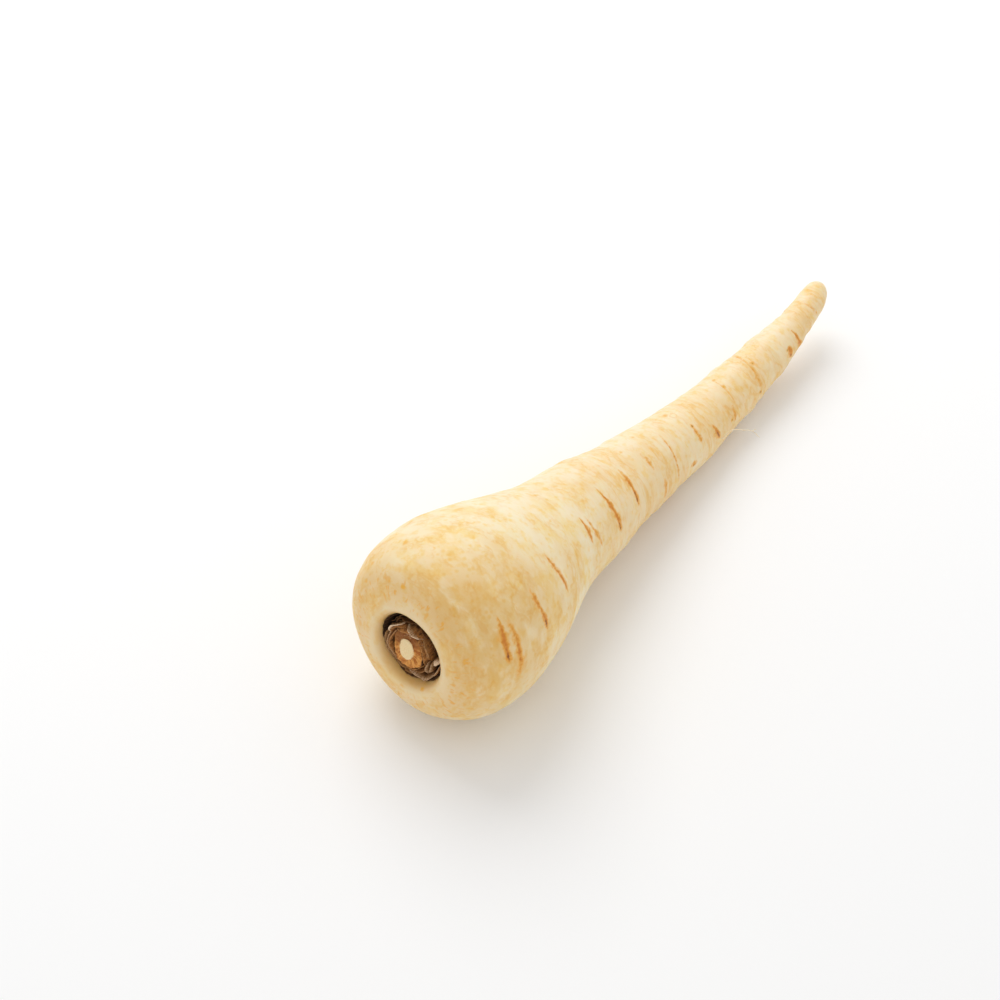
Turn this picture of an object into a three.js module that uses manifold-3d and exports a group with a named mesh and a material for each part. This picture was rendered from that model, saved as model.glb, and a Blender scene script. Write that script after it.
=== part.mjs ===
// A parsnip, pulled and trimmed, lying on its side.
//
// One group of three meshes, in millimetres, +Z up, with the surface it lies on at z = 0:
//   root        the taproot, one closed skin from the floor of its crown crater to its tip
//   leaf_bases  the dried, torn leaf sheaths that stand nested in the crater
//   crown_stem  the trimmed stub of the leaf crown, with its pith
// +X runs from the crown to the tip. The root is a round section swept along a curved centre line.
// Round the section, an angle of 0 points to +Y, 90 up, 180 to -Y and 270 down.

import * as THREE from 'three';
import { mergeVertices } from 'three/addons/utils/BufferGeometryUtils.js';
import Module from 'manifold-3d';

// ---------------------------------------------------------------------------------------------
// Driving dimensions
// ---------------------------------------------------------------------------------------------

// From the crown plane, where the centre line starts, to the middle of the footprint.
const FOOTPRINT_MIDDLE_X = 117.9;
const FOOTPRINT_MIDDLE_Y = -0.5;

// The centre line, as [x from the crown plane, y, z]. The shoulder lies on the surface, the tail
// comes down to it past the middle, and the tip rises off it again.
const CENTRE_LINE = [
  [0, -0.3, 36.6],
  [30, -0.5, 32.0],
  [60, 0.1, 27.4],
  [90, 0.6, 22.3],
  [115, 0.3, 18.0],
  [135, 0.2, 14.7],
  [150, 0.1, 12.5],
  [165, 0.3, 11.5],
  [180, 0.1, 11.8],
  [195, -0.2, 13.0],
  [210, -0.3, 14.7],
  [225, 0.2, 16.8],
  [236, 1.4, 18.8],
  [242, 2.9, 20.0],
];

// The outline that goes round the centre line, as [x from the crown plane, radius]: the floor and
// wall of the crater, the lip, the shoulder, the waist and the tail.
const OUTLINE = [
  [7, 0],
  [7, 4],
  [7, 7.5],
  [6.2, 10],
  [4, 11.2],
  [1.5, 11.9],
  [-2.2, 12.7],
  [-4.6, 14.2],
  [-5, 15.8],
  [-4.5, 19],
  [-3.2, 23],
  [-0.8, 27],
  [2.6, 30],
  [7.3, 32.2],
  [14, 33.6],
  [24, 33.8],
  [33, 32.1],
  [42, 29.7],
  [52, 26.2],
  [61, 23.1],
  [69, 21.1],
  [76, 20.3],
  [84, 19.6],
  [92, 18.6],
  [99, 17.3],
  [107, 15.9],
  [118, 15.1],
  [132, 13.8],
  [146, 12.9],
  [158, 11.8],
  [169, 10.7],
  [180, 10.5],
  [187, 9.8],
  [195, 9.3],
  [203, 8.6],
  [211, 7.6],
  [219, 6.6],
  [227, 5.8],
  [234, 5.4],
  [239.5, 4.4],
  [242.3, 2.6],
  [243.3, 0],
];
const FACETS_ROUND = 40;

// The skin's furrows: transverse cracks and folds, each on one ring of the root, as
// [x, middle of its arc in degrees, half its arc in degrees, depth].
const FURROWS = [
  [7.5, 150, 22, 1.0],
  [11.5, 159, 24, 0.9],
  [24, 147, 20, 0.9],
  [39.5, 139, 24, 0.9],
  [66.5, 136, 20, 0.7],
  [71.5, 143, 24, 0.6],
  [83, 137, 32, 0.9],
  [98, 131, 30, 0.8],
  [113.5, 119, 20, 0.6],
  [116.8, 167, 20, 0.6],
  [126.5, 135, 48, 0.8],
  [143.3, 133, 24, 0.7],
  [153.4, 152, 26, 0.7],
  [167.3, 154, 24, 0.6],
  [171, 104, 44, 0.6],
  [188, 112, 75, 0.9],
  [207.2, 160, 30, 0.6],
  [214.3, 158, 48, 0.8],
  [228.6, 126, 60, 0.5],
  [234, 100, 45, 0.4],
];
// Furrows round the sides that the list above leaves plain, drawn from a seeded rule.
const FURROW_SEED = 7;
const SEEDED_FURROWS = [
  { from: 16, to: 62, step: 11.5, halfArc: [12, 26], depth: [0.5, 0.9] },
  { from: 66, to: 226, step: 7.6, halfArc: [20, 65], depth: [0.35, 0.8] },
];
const LISTED_SIDE = [60, 200]; // degrees round the root that the listed furrows cover
const FURROW_HALF_WIDTH = 0.9;
const FURROW_BANK = 0.15; // how far the skin swells on both sides of a furrow
const RING_SPACING = 2.9; // two furrows closer than this along the root share one ring
const CLEAR_OF_FURROW = 2; // the outline's own rows keep this far from a ring of furrows

// The crown has a frame of its own: it starts where the stub's middle meets the crown plane, its
// +X points to the root's side, its +Y to the root's underside and its +Z out of the crater.
const STUB_OFFSET_SIDE = 1;
const STUB_OFFSET_DOWN = 1;
const CROWN_FOOT = -6.6; // just clear of the crater's floor
const STUB_RADIUS = 6.6;
// The stub's outline, as [height, radius]: its rind, the cut's bevel, and the pith standing proud.
const STUB_OUTLINE = [
  [CROWN_FOOT, 6],
  [-1, 6.3],
  [3.1, STUB_RADIUS],
  [3.8, 6],
  [4, 4.1],
  [4.3, 3.5],
  [4.4, 1.8],
];
const STUB_FACETS = 18;

// The wall of the crater less the gap to it, as a cone round the crater's middle.
const WALL_RADIUS = 11.85; // at the crown plane
const WALL_FLARE = 0.22;
const BORE_RADIUS = 7.1; // round the stub
const COLLAR_TOP = -1.5;
const COLLAR_KNEE = -4;
const COLLAR_FOOT_RADIUS = 8.6;

// The nested sheaths, as [place from the stub at 0 to the wall at 1, first and last angle,
// height, rag of the edge].
const SHEATHS = [
  [0.02, -20, 160, 3.4, 0.4],
  [0.14, 225, 380, 4.1, 0.4],
  [0.1, 130, 240, 3, 0.5],
  [0.4, 95, 205, 2.9, 0.6],
  [0.5, 215, 330, 1.6, 0.8],
  [0.5, -25, 90, 2.8, 0.5],
  [0.72, 100, 200, 2.4, 0.6],
  [0.76, 250, 345, 0.9, 0.6],
  [0.97, -45, 180, 2.1, 0.4],
  [0.97, 185, 320, 1.2, 0.6],
];
const SHEATH_THICKNESS = 0.9;
const SHEATH_FOOT = -2.4;
const SHEATH_STEP = 10; // degrees between the ragged points of a sheath's edge
const SHEATH_WANDER = 0.15;
const SHEATH_SEED = 23;

const SKIN_MATERIAL = { color: 0xe9d3a0, roughness: 0.55, metalness: 0 };
const SHEATH_MATERIAL = { color: 0x3a281b, roughness: 0.9, metalness: 0 };
const STUB_MATERIAL = { color: 0xb98a58, roughness: 0.8, metalness: 0 };

// ---------------------------------------------------------------------------------------------
// Curves and solids
// ---------------------------------------------------------------------------------------------

// A repeatable stream of numbers from 0 to 1.
function seededNumbers(seed) {
  let state = seed >>> 0;
  return () => {
    state = (Math.imul(state, 1664525) + 1013904223) >>> 0;
    return state / 4294967296;
  };
}

const between = (low, high, share) => low + (high - low) * share;

// A smooth curve through values at rising places, level with the parabola through each three.
function smoothCurve(places, values) {
  const last = places.length - 1;
  const slope = (i) => (values[i + 1] - values[i]) / (places[i + 1] - places[i]);
  const tangents = values.map((_, i) => {
    if (i === 0) return slope(0);
    if (i === last) return slope(last - 1);
    const before = places[i] - places[i - 1];
    const after = places[i + 1] - places[i];
    return (slope(i - 1) * after + slope(i) * before) / (before + after);
  });
  return (place) => {
    if (place <= places[0]) return values[0] + (place - places[0]) * tangents[0];
    if (place >= places[last]) return values[last] + (place - places[last]) * tangents[last];
    const i = places.findIndex((p) => p > place) - 1;
    const span = places[i + 1] - places[i];
    const u = (place - places[i]) / span;
    return (
      (1 + 2 * u) * (1 - u) ** 2 * values[i] +
      u * (1 - u) ** 2 * span * tangents[i] +
      u * u * (3 - 2 * u) * values[i + 1] +
      u * u * (u - 1) * span * tangents[i + 1]
    );
  };
}

// A closed geometry from loops of points, each loop joined to the next. The first and last loops
// are closed by fans to their own middle, or the last is joined to the first where ringShaped.
function loftedGeometry(loops, ringShaped = false) {
  const positions = [];
  const triangles = [];
  const size = loops[0].length;
  loops.forEach((loop) => loop.forEach((p) => positions.push(p.x, p.y, p.z)));
  const joins = ringShaped ? loops.length : loops.length - 1;
  for (let i = 0; i < joins; i += 1) {
    const here = i * size;
    const next = ((i + 1) % loops.length) * size;
    for (let j = 0; j < size; j += 1) {
      const k = (j + 1) % size;
      triangles.push(here + j, here + k, next + k, here + j, next + k, next + j);
    }
  }
  if (!ringShaped) {
    [0, loops.length - 1].forEach((end) => {
      const middle = new THREE.Vector3();
      loops[end].forEach((p) => middle.addScaledVector(p, 1 / size));
      const centre = positions.length / 3;
      positions.push(middle.x, middle.y, middle.z);
      for (let j = 0; j < size; j += 1) {
        const a = end * size + j;
        const b = end * size + ((j + 1) % size);
        if (end === 0) triangles.push(centre, b, a);
        else triangles.push(centre, a, b);
      }
    });
  }
  const geometry = new THREE.BufferGeometry();
  geometry.setAttribute('position', new THREE.Float32BufferAttribute(positions, 3));
  geometry.setIndex(triangles);
  return geometry;
}

const wasm = await Module();
wasm.setup();

// The union of geometries that overlap each other, as one geometry.
function fused(geometries) {
  const solids = geometries.map((geometry) => {
    const merged = mergeVertices(geometry, 1e-4);
    const mesh = new wasm.Mesh({
      numProp: 3,
      vertProperties: new Float32Array(merged.getAttribute('position').array),
      triVerts: new Uint32Array(merged.getIndex().array),
    });
    return new wasm.Manifold(mesh);
  });
  const mesh = solids.reduce((whole, solid) => whole.add(solid)).getMesh();
  const geometry = new THREE.BufferGeometry();
  geometry.setAttribute('position', new THREE.BufferAttribute(mesh.vertProperties, mesh.numProp));
  geometry.setIndex(new THREE.BufferAttribute(mesh.triVerts, 1));
  return geometry;
}

function namedMesh(name, geometry, material) {
  geometry.computeVertexNormals();
  const mesh = new THREE.Mesh(geometry, new THREE.MeshStandardMaterial(material));
  mesh.name = name;
  return mesh;
}

// ---------------------------------------------------------------------------------------------
// The taproot
// ---------------------------------------------------------------------------------------------

const column = (table, i) => table.map((row) => row[i]);
const centreY = smoothCurve(column(CENTRE_LINE, 0), column(CENTRE_LINE, 1));
const centreZ = smoothCurve(column(CENTRE_LINE, 0), column(CENTRE_LINE, 2));

// The plane across the root at x: its middle, its direction to the tip, its side and its top.
function sectionPlane(x) {
  const reach = 0.05;
  const middle = new THREE.Vector3(x, centreY(x), centreZ(x));
  const ahead = new THREE.Vector3(
    2 * reach,
    centreY(x + reach) - centreY(x - reach),
    centreZ(x + reach) - centreZ(x - reach),
  ).normalize();
  const side = new THREE.Vector3(0, 0, 1).cross(ahead).normalize();
  const top = ahead.clone().cross(side);
  return { middle, ahead, side, top };
}

// How far along the outline each of its points lies. Root of the chord keeps the lip round.
const outlinePlaces = [0];
for (let i = 1; i < OUTLINE.length; i += 1) {
  const chord = Math.hypot(OUTLINE[i][0] - OUTLINE[i - 1][0], OUTLINE[i][1] - OUTLINE[i - 1][1]);
  outlinePlaces.push(outlinePlaces[i - 1] + Math.sqrt(chord));
}
const outlineX = smoothCurve(outlinePlaces, column(OUTLINE, 0));
const outlineRadius = smoothCurve(outlinePlaces, column(OUTLINE, 1));
const outlineEnd = outlinePlaces[OUTLINE.length - 1];
const lipIndex = column(OUTLINE, 0).indexOf(Math.min(...column(OUTLINE, 0)));

// The place on the outline where the outside of the root passes x, by halving. From the lip on,
// the outline only runs towards the tip.
function outlinePlaceAt(x) {
  let low = outlinePlaces[lipIndex];
  let high = outlineEnd;
  while (high - low > 1e-5) {
    const middle = (low + high) / 2;
    if (outlineX(middle) < x) low = middle;
    else high = middle;
  }
  return low;
}

// Every furrow, in order along the root: the listed ones and the seeded ones.
function allFurrows() {
  const next = seededNumbers(FURROW_SEED);
  const furrows = FURROWS.map(([x, middle, halfArc, depth]) => ({ x, middle, halfArc, depth }));
  SEEDED_FURROWS.forEach(({ from, to, step, halfArc, depth }) => {
    for (let x = from; x < to; x += step * between(0.75, 1.25, next())) {
      const plainArc = 360 - (LISTED_SIDE[1] - LISTED_SIDE[0]);
      furrows.push({
        x,
        middle: LISTED_SIDE[1] + plainArc * between(0.1, 0.9, next()),
        halfArc: between(...halfArc, next()),
        depth: between(...depth, next()),
      });
    }
  });
  return furrows.sort((a, b) => a.x - b.x);
}

// The rings of furrows along the root, each with the arcs that lie on it.
function furrowRings(furrows) {
  const rings = [];
  furrows.forEach((furrow) => {
    const last = rings[rings.length - 1];
    if (last && furrow.x - last.x < RING_SPACING) last.arcs.push(furrow);
    else rings.push({ x: furrow.x, arcs: [furrow] });
  });
  return rings;
}

// How deep the furrows of a ring are at an angle: full in the middle of an arc, none at its ends.
function furrowDepth(arcs, degrees) {
  return arcs.reduce((deepest, { middle, halfArc, depth }) => {
    const away = Math.abs(((degrees - middle + 540) % 360) - 180);
    const fade = Math.max(0, 1 - (away / halfArc) ** 2);
    return Math.max(deepest, depth * Math.sqrt(fade));
  }, 0);
}

// The rows of vertices along the outline: one at each of its own points, and three for each ring
// of furrows, at its banks and in its bed.
function skinRows() {
  const rings = furrowRings(allFurrows());
  const furrowRows = rings.flatMap(({ x, arcs }) => [
    { place: outlinePlaceAt(x - FURROW_HALF_WIDTH), arcs, bed: false },
    { place: outlinePlaceAt(x), arcs, bed: true },
    { place: outlinePlaceAt(x + FURROW_HALF_WIDTH), arcs, bed: false },
  ]);
  const clearOfFurrows = (x) => rings.every((ring) => Math.abs(ring.x - x) > CLEAR_OF_FURROW);
  const plainRows = [];
  for (let i = 1; i < OUTLINE.length - 1; i += 1) {
    const inCrater = i <= lipIndex;
    if (inCrater || clearOfFurrows(OUTLINE[i][0])) {
      plainRows.push({ place: outlinePlaces[i], arcs: [], bed: false });
    }
  }
  return [...plainRows, ...furrowRows].sort((a, b) => a.place - b.place);
}

function rootMesh() {
  const loops = skinRows().map(({ place, arcs, bed }) => {
    const { middle, side, top } = sectionPlane(outlineX(place));
    const radius = outlineRadius(place);
    const loop = [];
    for (let j = 0; j < FACETS_ROUND; j += 1) {
      const degrees = (360 * (j + 0.5)) / FACETS_ROUND;
      const angle = THREE.MathUtils.degToRad(degrees);
      const depth = furrowDepth(arcs, degrees);
      const bank = depth > 0 ? FURROW_BANK : 0;
      const r = bed ? radius - depth : radius + bank;
      const point = middle.clone();
      point.addScaledVector(side, r * Math.cos(angle));
      point.addScaledVector(top, r * Math.sin(angle));
      point.z = Math.max(point.z, 0); // the flat spot it lies on
      loop.push(point);
    }
    return loop;
  });
  return namedMesh('root', loftedGeometry(loops), SKIN_MATERIAL);
}

// ---------------------------------------------------------------------------------------------
// The crown
// ---------------------------------------------------------------------------------------------

const polar = (radius, degrees, height) => {
  const angle = THREE.MathUtils.degToRad(degrees);
  return new THREE.Vector3(radius * Math.cos(angle), radius * Math.sin(angle), height);
};

// How far it is from the stub's middle to a circle round the crater's middle.
function reachTo(radius, degrees) {
  const angle = THREE.MathUtils.degToRad(degrees);
  const along = STUB_OFFSET_SIDE * Math.cos(angle) + STUB_OFFSET_DOWN * Math.sin(angle);
  const offset = Math.hypot(STUB_OFFSET_SIDE, STUB_OFFSET_DOWN);
  return Math.sqrt(radius ** 2 - offset ** 2 + along ** 2) - along;
}

const wallReach = (degrees, height) => reachTo(WALL_RADIUS + WALL_FLARE * height, degrees);

// A body swept round the crown's axis: section(degrees) gives its [radius, height] corners.
function sweptRound(from, to, step, section) {
  const whole = to - from === 360;
  const steps = Math.round((to - from) / step);
  const count = whole ? steps : steps + 1;
  const loops = [];
  for (let i = 0; i < count; i += 1) {
    const degrees = between(from, to, i / steps);
    const corners = section(degrees, i / steps);
    loops.push(corners.map(([radius, height]) => polar(radius, degrees, height)));
  }
  return loftedGeometry(loops, whole);
}

// The foot that all the sheaths grow from: it fills the bottom of the crater round the stub.
function collarGeometry() {
  return sweptRound(0, 360, 15, (degrees) => [
    [BORE_RADIUS, CROWN_FOOT],
    [BORE_RADIUS, COLLAR_TOP],
    [wallReach(degrees, COLLAR_TOP), COLLAR_TOP],
    [wallReach(degrees, COLLAR_KNEE), COLLAR_KNEE],
    [reachTo(COLLAR_FOOT_RADIUS, degrees), CROWN_FOOT],
  ]);
}

// One torn sheath: a thin upright wall with a ragged top edge that sinks away at its two ends.
function sheathGeometry([nest, from, to, height, rag], next) {
  const half = SHEATH_THICKNESS / 2;
  const middleAt = (degrees, z) => between(BORE_RADIUS + half, wallReach(degrees, z) - half, nest);
  return sweptRound(from, to, SHEATH_STEP, (degrees, share) => {
    const rise = Math.sqrt(Math.sin(Math.PI * between(0.03, 0.97, share)));
    const top = between(COLLAR_TOP, height, rise) + rag * between(-1, 1, next());
    const wander = SHEATH_WANDER * between(-1, 0, next());
    const foot = middleAt(degrees, SHEATH_FOOT);
    const edge = middleAt(degrees, top) + wander;
    return [
      [foot - half, SHEATH_FOOT],
      [edge - half, top],
      [edge + half, top],
      [foot + half, SHEATH_FOOT],
    ];
  });
}

function leafBasesMesh() {
  const next = seededNumbers(SHEATH_SEED);
  const sheaths = SHEATHS.map((sheath) => sheathGeometry(sheath, next));
  return namedMesh('leaf_bases', fused([collarGeometry(), ...sheaths]), SHEATH_MATERIAL);
}

function crownStemMesh() {
  const loops = STUB_OUTLINE.map(([height, radius]) => {
    const loop = [];
    for (let j = 0; j < STUB_FACETS; j += 1) {
      loop.push(polar(radius, (360 * j) / STUB_FACETS, height));
    }
    return loop;
  });
  return namedMesh('crown_stem', loftedGeometry(loops), STUB_MATERIAL);
}

// ---------------------------------------------------------------------------------------------
// The parsnip
// ---------------------------------------------------------------------------------------------

const parsnip = new THREE.Group();
parsnip.position.set(-FOOTPRINT_MIDDLE_X, -FOOTPRINT_MIDDLE_Y, 0);
parsnip.add(rootMesh());

const crownPlane = sectionPlane(0);
const crown = new THREE.Group();
crown.position.copy(crownPlane.middle);
crown.position.addScaledVector(crownPlane.side, STUB_OFFSET_SIDE);
crown.position.addScaledVector(crownPlane.top, -STUB_OFFSET_DOWN);
crown.quaternion.setFromRotationMatrix(
  new THREE.Matrix4().makeBasis(
    crownPlane.side,
    crownPlane.top.clone().negate(),
    crownPlane.ahead.clone().negate(),
  ),
);
crown.add(leafBasesMesh());
crown.add(crownStemMesh());
parsnip.add(crown);

export default parsnip;
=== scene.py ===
"""The looks of one parsnip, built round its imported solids.

Lengths are in metres and angles in degrees. The shape's driving values repeat the part's own:
the root is a round section swept along a curved centre line, and the skin is laid over it on a
much finer grid. +X runs from the crown to the tip. Round the root, an angle of 0 points to +Y,
90 up, 180 to -Y and 270 down.
"""

import itertools
import math

import bpy
import numpy as np
from mathutils import Euler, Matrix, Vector


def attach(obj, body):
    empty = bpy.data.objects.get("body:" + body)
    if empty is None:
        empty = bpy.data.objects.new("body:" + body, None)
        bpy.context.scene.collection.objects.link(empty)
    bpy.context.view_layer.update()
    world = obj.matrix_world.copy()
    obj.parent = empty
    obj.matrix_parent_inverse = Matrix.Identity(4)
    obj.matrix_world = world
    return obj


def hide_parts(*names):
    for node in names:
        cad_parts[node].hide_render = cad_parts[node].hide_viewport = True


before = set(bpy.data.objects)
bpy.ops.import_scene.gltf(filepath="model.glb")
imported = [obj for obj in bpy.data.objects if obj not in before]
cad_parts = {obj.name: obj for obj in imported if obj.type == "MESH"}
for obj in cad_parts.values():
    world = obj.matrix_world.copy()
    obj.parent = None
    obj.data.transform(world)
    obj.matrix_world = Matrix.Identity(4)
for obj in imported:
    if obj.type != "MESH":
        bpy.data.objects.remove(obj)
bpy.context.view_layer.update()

# ---- The root's shape ----

FOOTPRINT_MIDDLE_X = 0.1179  # from the crown plane
FOOTPRINT_MIDDLE_Y = -0.0005

# The root's middle, as [x from the crown plane, y, z].
CENTRE_LINE = np.array([
    [0, -0.0003, 0.0366],
    [0.03, -0.0005, 0.032],
    [0.06, 0.0001, 0.0274],
    [0.09, 0.0006, 0.0223],
    [0.115, 0.0003, 0.018],
    [0.135, 0.0002, 0.0147],
    [0.15, 0.0001, 0.0125],
    [0.165, 0.0003, 0.0115],
    [0.18, 0.0001, 0.0118],
    [0.195, -0.0002, 0.013],
    [0.21, -0.0003, 0.0147],
    [0.225, 0.0002, 0.0168],
    [0.236, 0.0014, 0.0188],
    [0.242, 0.0029, 0.02],
])

# The root's outline, as [x from the crown plane, radius], from the crater's floor over the lip
# to the tip.
OUTLINE = np.array([
    [0.007, 0],
    [0.007, 0.004],
    [0.007, 0.0075],
    [0.0062, 0.01],
    [0.004, 0.0112],
    [0.0015, 0.0119],
    [-0.0022, 0.0127],
    [-0.0046, 0.0142],
    [-0.005, 0.0158],
    [-0.0045, 0.019],
    [-0.0032, 0.023],
    [-0.0008, 0.027],
    [0.0026, 0.03],
    [0.0073, 0.0322],
    [0.014, 0.0336],
    [0.024, 0.0338],
    [0.033, 0.0321],
    [0.042, 0.0297],
    [0.052, 0.0262],
    [0.061, 0.0231],
    [0.069, 0.0211],
    [0.076, 0.0203],
    [0.084, 0.0196],
    [0.092, 0.0186],
    [0.099, 0.0173],
    [0.107, 0.0159],
    [0.118, 0.0151],
    [0.132, 0.0138],
    [0.146, 0.0129],
    [0.158, 0.0118],
    [0.169, 0.0107],
    [0.18, 0.0105],
    [0.187, 0.0098],
    [0.195, 0.0093],
    [0.203, 0.0086],
    [0.211, 0.0076],
    [0.219, 0.0066],
    [0.227, 0.0058],
    [0.234, 0.0054],
    [0.2395, 0.0044],
    [0.2423, 0.0026],
    [0.2433, 0],
])
LIP_POINT = 8  # the outline's point on the crest of the lip
# The lip leans back on one side and forward on the other, by a share of the radius that is full
# between two points of the outline and fades out to two more.
LIP_LEAN = 0.068
LIP_LEAN_BACK = 54  # degrees
LIP_LEAN_POINTS = (5, 7, 9, 12)

# The furrows on the side that shows, as (x, middle of the arc, half the arc, depth, half width,
# rust, how far x moves from the middle to the arc's far end).
FURROWS = (
    (0.0075, 150, 15, 0.0008, 0.0006, 1, -0.0002),
    (0.0112, 159, 19, 0.0007, 0.0006, 0.9, 0),
    (0.0243, 147, 15, 0.0006, 0.00045, 1, 0.0004),
    (0.0395, 140, 15, 0.0006, 0.0004, 1, 0.0009),
    (0.0665, 136, 14, 0.0005, 0.0005, 1, 0.0004),
    (0.0705, 143, 19, 0.0005, 0.0004, 0.6, 0.0016),
    (0.083, 137, 29, 0.0006, 0.0005, 1, 0.0009),
    (0.098, 131, 26, 0.0006, 0.00045, 0.9, 0.0001),
    (0.1134, 119, 16, 0.0004, 0.0004, 0.6, 0),
    (0.1166, 167, 16, 0.0004, 0.0007, 0.7, 0),
    (0.1262, 135, 44, 0.0006, 0.0003, 0.6, -0.001),
    (0.1371, 172, 6, 0.0004, 0.0007, 0.8, 0),
    (0.1433, 133, 18, 0.0005, 0.0004, 0.6, 0.0002),
    (0.1534, 152, 18, 0.0005, 0.0006, 1, 0.001),
    (0.1672, 154, 18, 0.0004, 0.0006, 0.7, -0.0005),
    (0.171, 104, 38, 0.0005, 0.0003, 0.4, -0.0006),
    (0.1873, 112, 75, 0.0012, 0.0005, 0.5, -0.0024),
    (0.2072, 160, 20, 0.0005, 0.0005, 1, 0),
    (0.2143, 158, 42, 0.0008, 0.0005, 1, 0.0003),
    (0.2286, 126, 56, 0.0005, 0.0003, 0.4, 0.0008),
    (0.234, 100, 34, 0.0004, 0.0003, 0.3, -0.0002),
)
# More furrows, drawn from a seeded rule, as (from x, to x, step along the root, angles between
# which an arc's middle lies, half arcs, depths, rust): the deeper ones are on the sides that the
# list leaves plain, and the faint ones on all sides.
SEEDED_FURROWS = (
    (0.016, 0.062, 0.0115, (230, 385), (8, 20), (0.0004, 0.0008), (0.2, 1)),
    (0.066, 0.226, 0.006, (235, 380), (12, 40), (0.0003, 0.0007), (0.2, 1)),
    (0.01, 0.07, 0.0028, (0, 360), (3, 10), (0.0001, 0.0002), (0, 0.25)),
    (0.07, 0.238, 0.0015, (0, 360), (7, 28), (0.0001, 0.0003), (0, 0.25)),
)
FURROW_SEED = 7
FURROW_REACH = 0.008  # how far along the root a furrow is felt
FURROW_SKEW = 0.3  # how far past its arc's middle a furrow is widest
FURROW_WANDER = 0.0005  # how far it strays from its line
GROOVE_SHARE = 0.2  # how much of a furrow's depth is its narrow groove
BANK_SHARE = 0.15  # and how much of it rises on its two sides
# In half widths of the furrow, how far from its bed the banks are, the rust ends and the dark
# ends.
BANK_PLACE = 2.3
STAIN_WIDTHS = 4.2
DARK_WIDTHS = 1.5
HALO_BAND = (-0.0025, 0.003)  # where the skin before a furrow is golden: middle and reach

# The skin's fine relief, as (size along the root, that over the size round it, height on the
# bulb, height on the tail, whether the crater has it too): lumps, dimples, pits, rings, wrinkles.
SKIN_RELIEF = (
    (0.019, 1, 0.00022, 0.00011, True),
    (0.006, 1, 0.00006, 0.00006, True),
    (0.0023, 1, 0.000025, 0.000025, True),
    (0.0034, 0.12, 0.00004, 0.00019, False),
    (0.0011, 0.1, 0.00001, 0.00003, False),
)

# Small spots, as (distance along the skin from the lip, degrees round the root, radius, how
# orange, how dark).
SPOTS = (
    (0.0229, 62, 0.0011, 0.65, 0),
    (0.0159, 40, 0.0011, 0.6, 0),
    (0.0077, 75, 0.0011, 0.9, 0),
    (0.0107, 32, 0.001, 0.6, 0.4),
    (-0.0024, 237, 0.001, 0.9, 0.2),
    (-0.0005, 271, 0.0009, 0.4, 0),
    (0.006, 351, 0.0016, 0.5, 0),
    (0.156, 74, 0.0011, 0.7, 0),
    (0.1597, 117, 0.001, 0.9, 0.62),
    (0.2063, 105, 0.001, 0.8, 0.6),
    (0.2233, 148, 0.0009, 0.7, 0.6),
    (0.2021, 169, 0.0011, 0.8, 0.66),
    (0.1889, 73, 0.0009, 0.7, 0),
    (0.1884, 100, 0.0009, 0.8, 0.45),
    (0.1243, 88, 0.0008, 0.5, 0),
    (0.1355, 77, 0.0007, 0.4, 0),
    (0.1539, 171, 0.0009, 0.9, 0.6),
    (0.1819, 162, 0.0009, 0.9, 0.6),
)
# The ring-shaped scars of old rootlets, as (distance along the skin from the lip, degrees,
# radius, how orange).
RING_SCARS = (
    (0.1579, 84, 0.0013, 0.35),
    (0.0899, 144, 0.0017, 0.25),
)

# The one long rootlet, as where it leaves the skin and its path from there, with its twig.
ROOTLET_X = 0.156
ROOTLET_DEGREES = 176
ROOTLET_PATH = (
    (-0.0003, 0.0008, -0.0001),
    (0.0004, -0.0004, 0.0002),
    (0.0018, -0.0009, 0.0013),
    (0.0041, -0.0015, 0.002),
    (0.0068, -0.0045, 0.0022),
    (0.0092, -0.0074, 0.0012),
    (0.01, -0.0101, -0.0006),
)
ROOTLET_TWIG = (
    (0.009, -0.0073, 0.0012),
    (0.0097, -0.0074, 0.0018),
    (0.0103, -0.0081, 0.0021),
)
ROOTLET_RADIUS = 0.00022
ROOTLET_WANDER = 0.00012
# Short rootlets along the tail's far side.
SHORT_ROOTLETS = 12
SHORT_ROOTLET_RADIUS = 0.00016
SHORT_ROOTLET_SIDE = 335  # degrees
SHORT_ROOTLET_X = (0.075, 0.225)
SHORT_ROOTLET_LENGTH = (0.002, 0.005)
SHORT_ROOTLET_SEED = 12

# Where the skin's colours lie. The bands are (middle, reach) along the skin from the lip, and the
# starts are (x where a colour begins, x where it is full).
SHOULDER_ARC = 0.012  # where along the skin from the lip the shoulder is deepest in colour
SHOULDER_REACH = 0.019
SHOULDER_SHADE_SIDE = 145  # degrees, the side turned from the light, where it is deepest and reaches furthest: the shoulder's own yellow, deepened there by painted shade
LIT_SIDE = 52  # degrees, the side of the waist and the tail that faces the light, laid paler there as painted light
LIT_SIDE_START = (0.02, 0.06)
TAIL_START = (0.05, 0.10)
# The lip band is a painted highlight along the lip's crest.
LIP_HIGHLIGHT_BAND = (-0.0006, 0.0016)
DASH_BAND = (0.0065, 0.005)

SKIN_ROWS = 780
SKIN_COLUMNS = 118
DEEP_ARC = -0.012  # along the skin from the lip; further in, the rows are twice as far apart
NOISE_LATTICE = 32  # steps each way, after which the noise repeats
NOISE_GAIN = 1.6

# ---- The crown ----

# Its frame starts where the stub's middle meets the crown plane: +X to the root's side, +Y to its
# underside, +Z out of the crater.

STUB_OFFSET_SIDE = 0.001
STUB_OFFSET_DOWN = 0.001
CROWN_FOOT = -0.0066

# The stub's outline, as [height, radius]: its rind, the cut's bevel, the ring of old leaf
# stalks that the cut went through, and the pith.
STUB_OUTLINE = np.array([
    [CROWN_FOOT, 0.0060],
    [-0.001, 0.0063],
    [0.0024, 0.0066],
    [0.0034, 0.0065],
    [0.0038, 0.006],
    [0.0039, 0.005],
    [0.0038, 0.0041],
    [0.004, 0.0036],
    [0.0043, 0.0031],
    [0.0044, 0.002],
    [0.0044, 0.0004],
])
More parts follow.
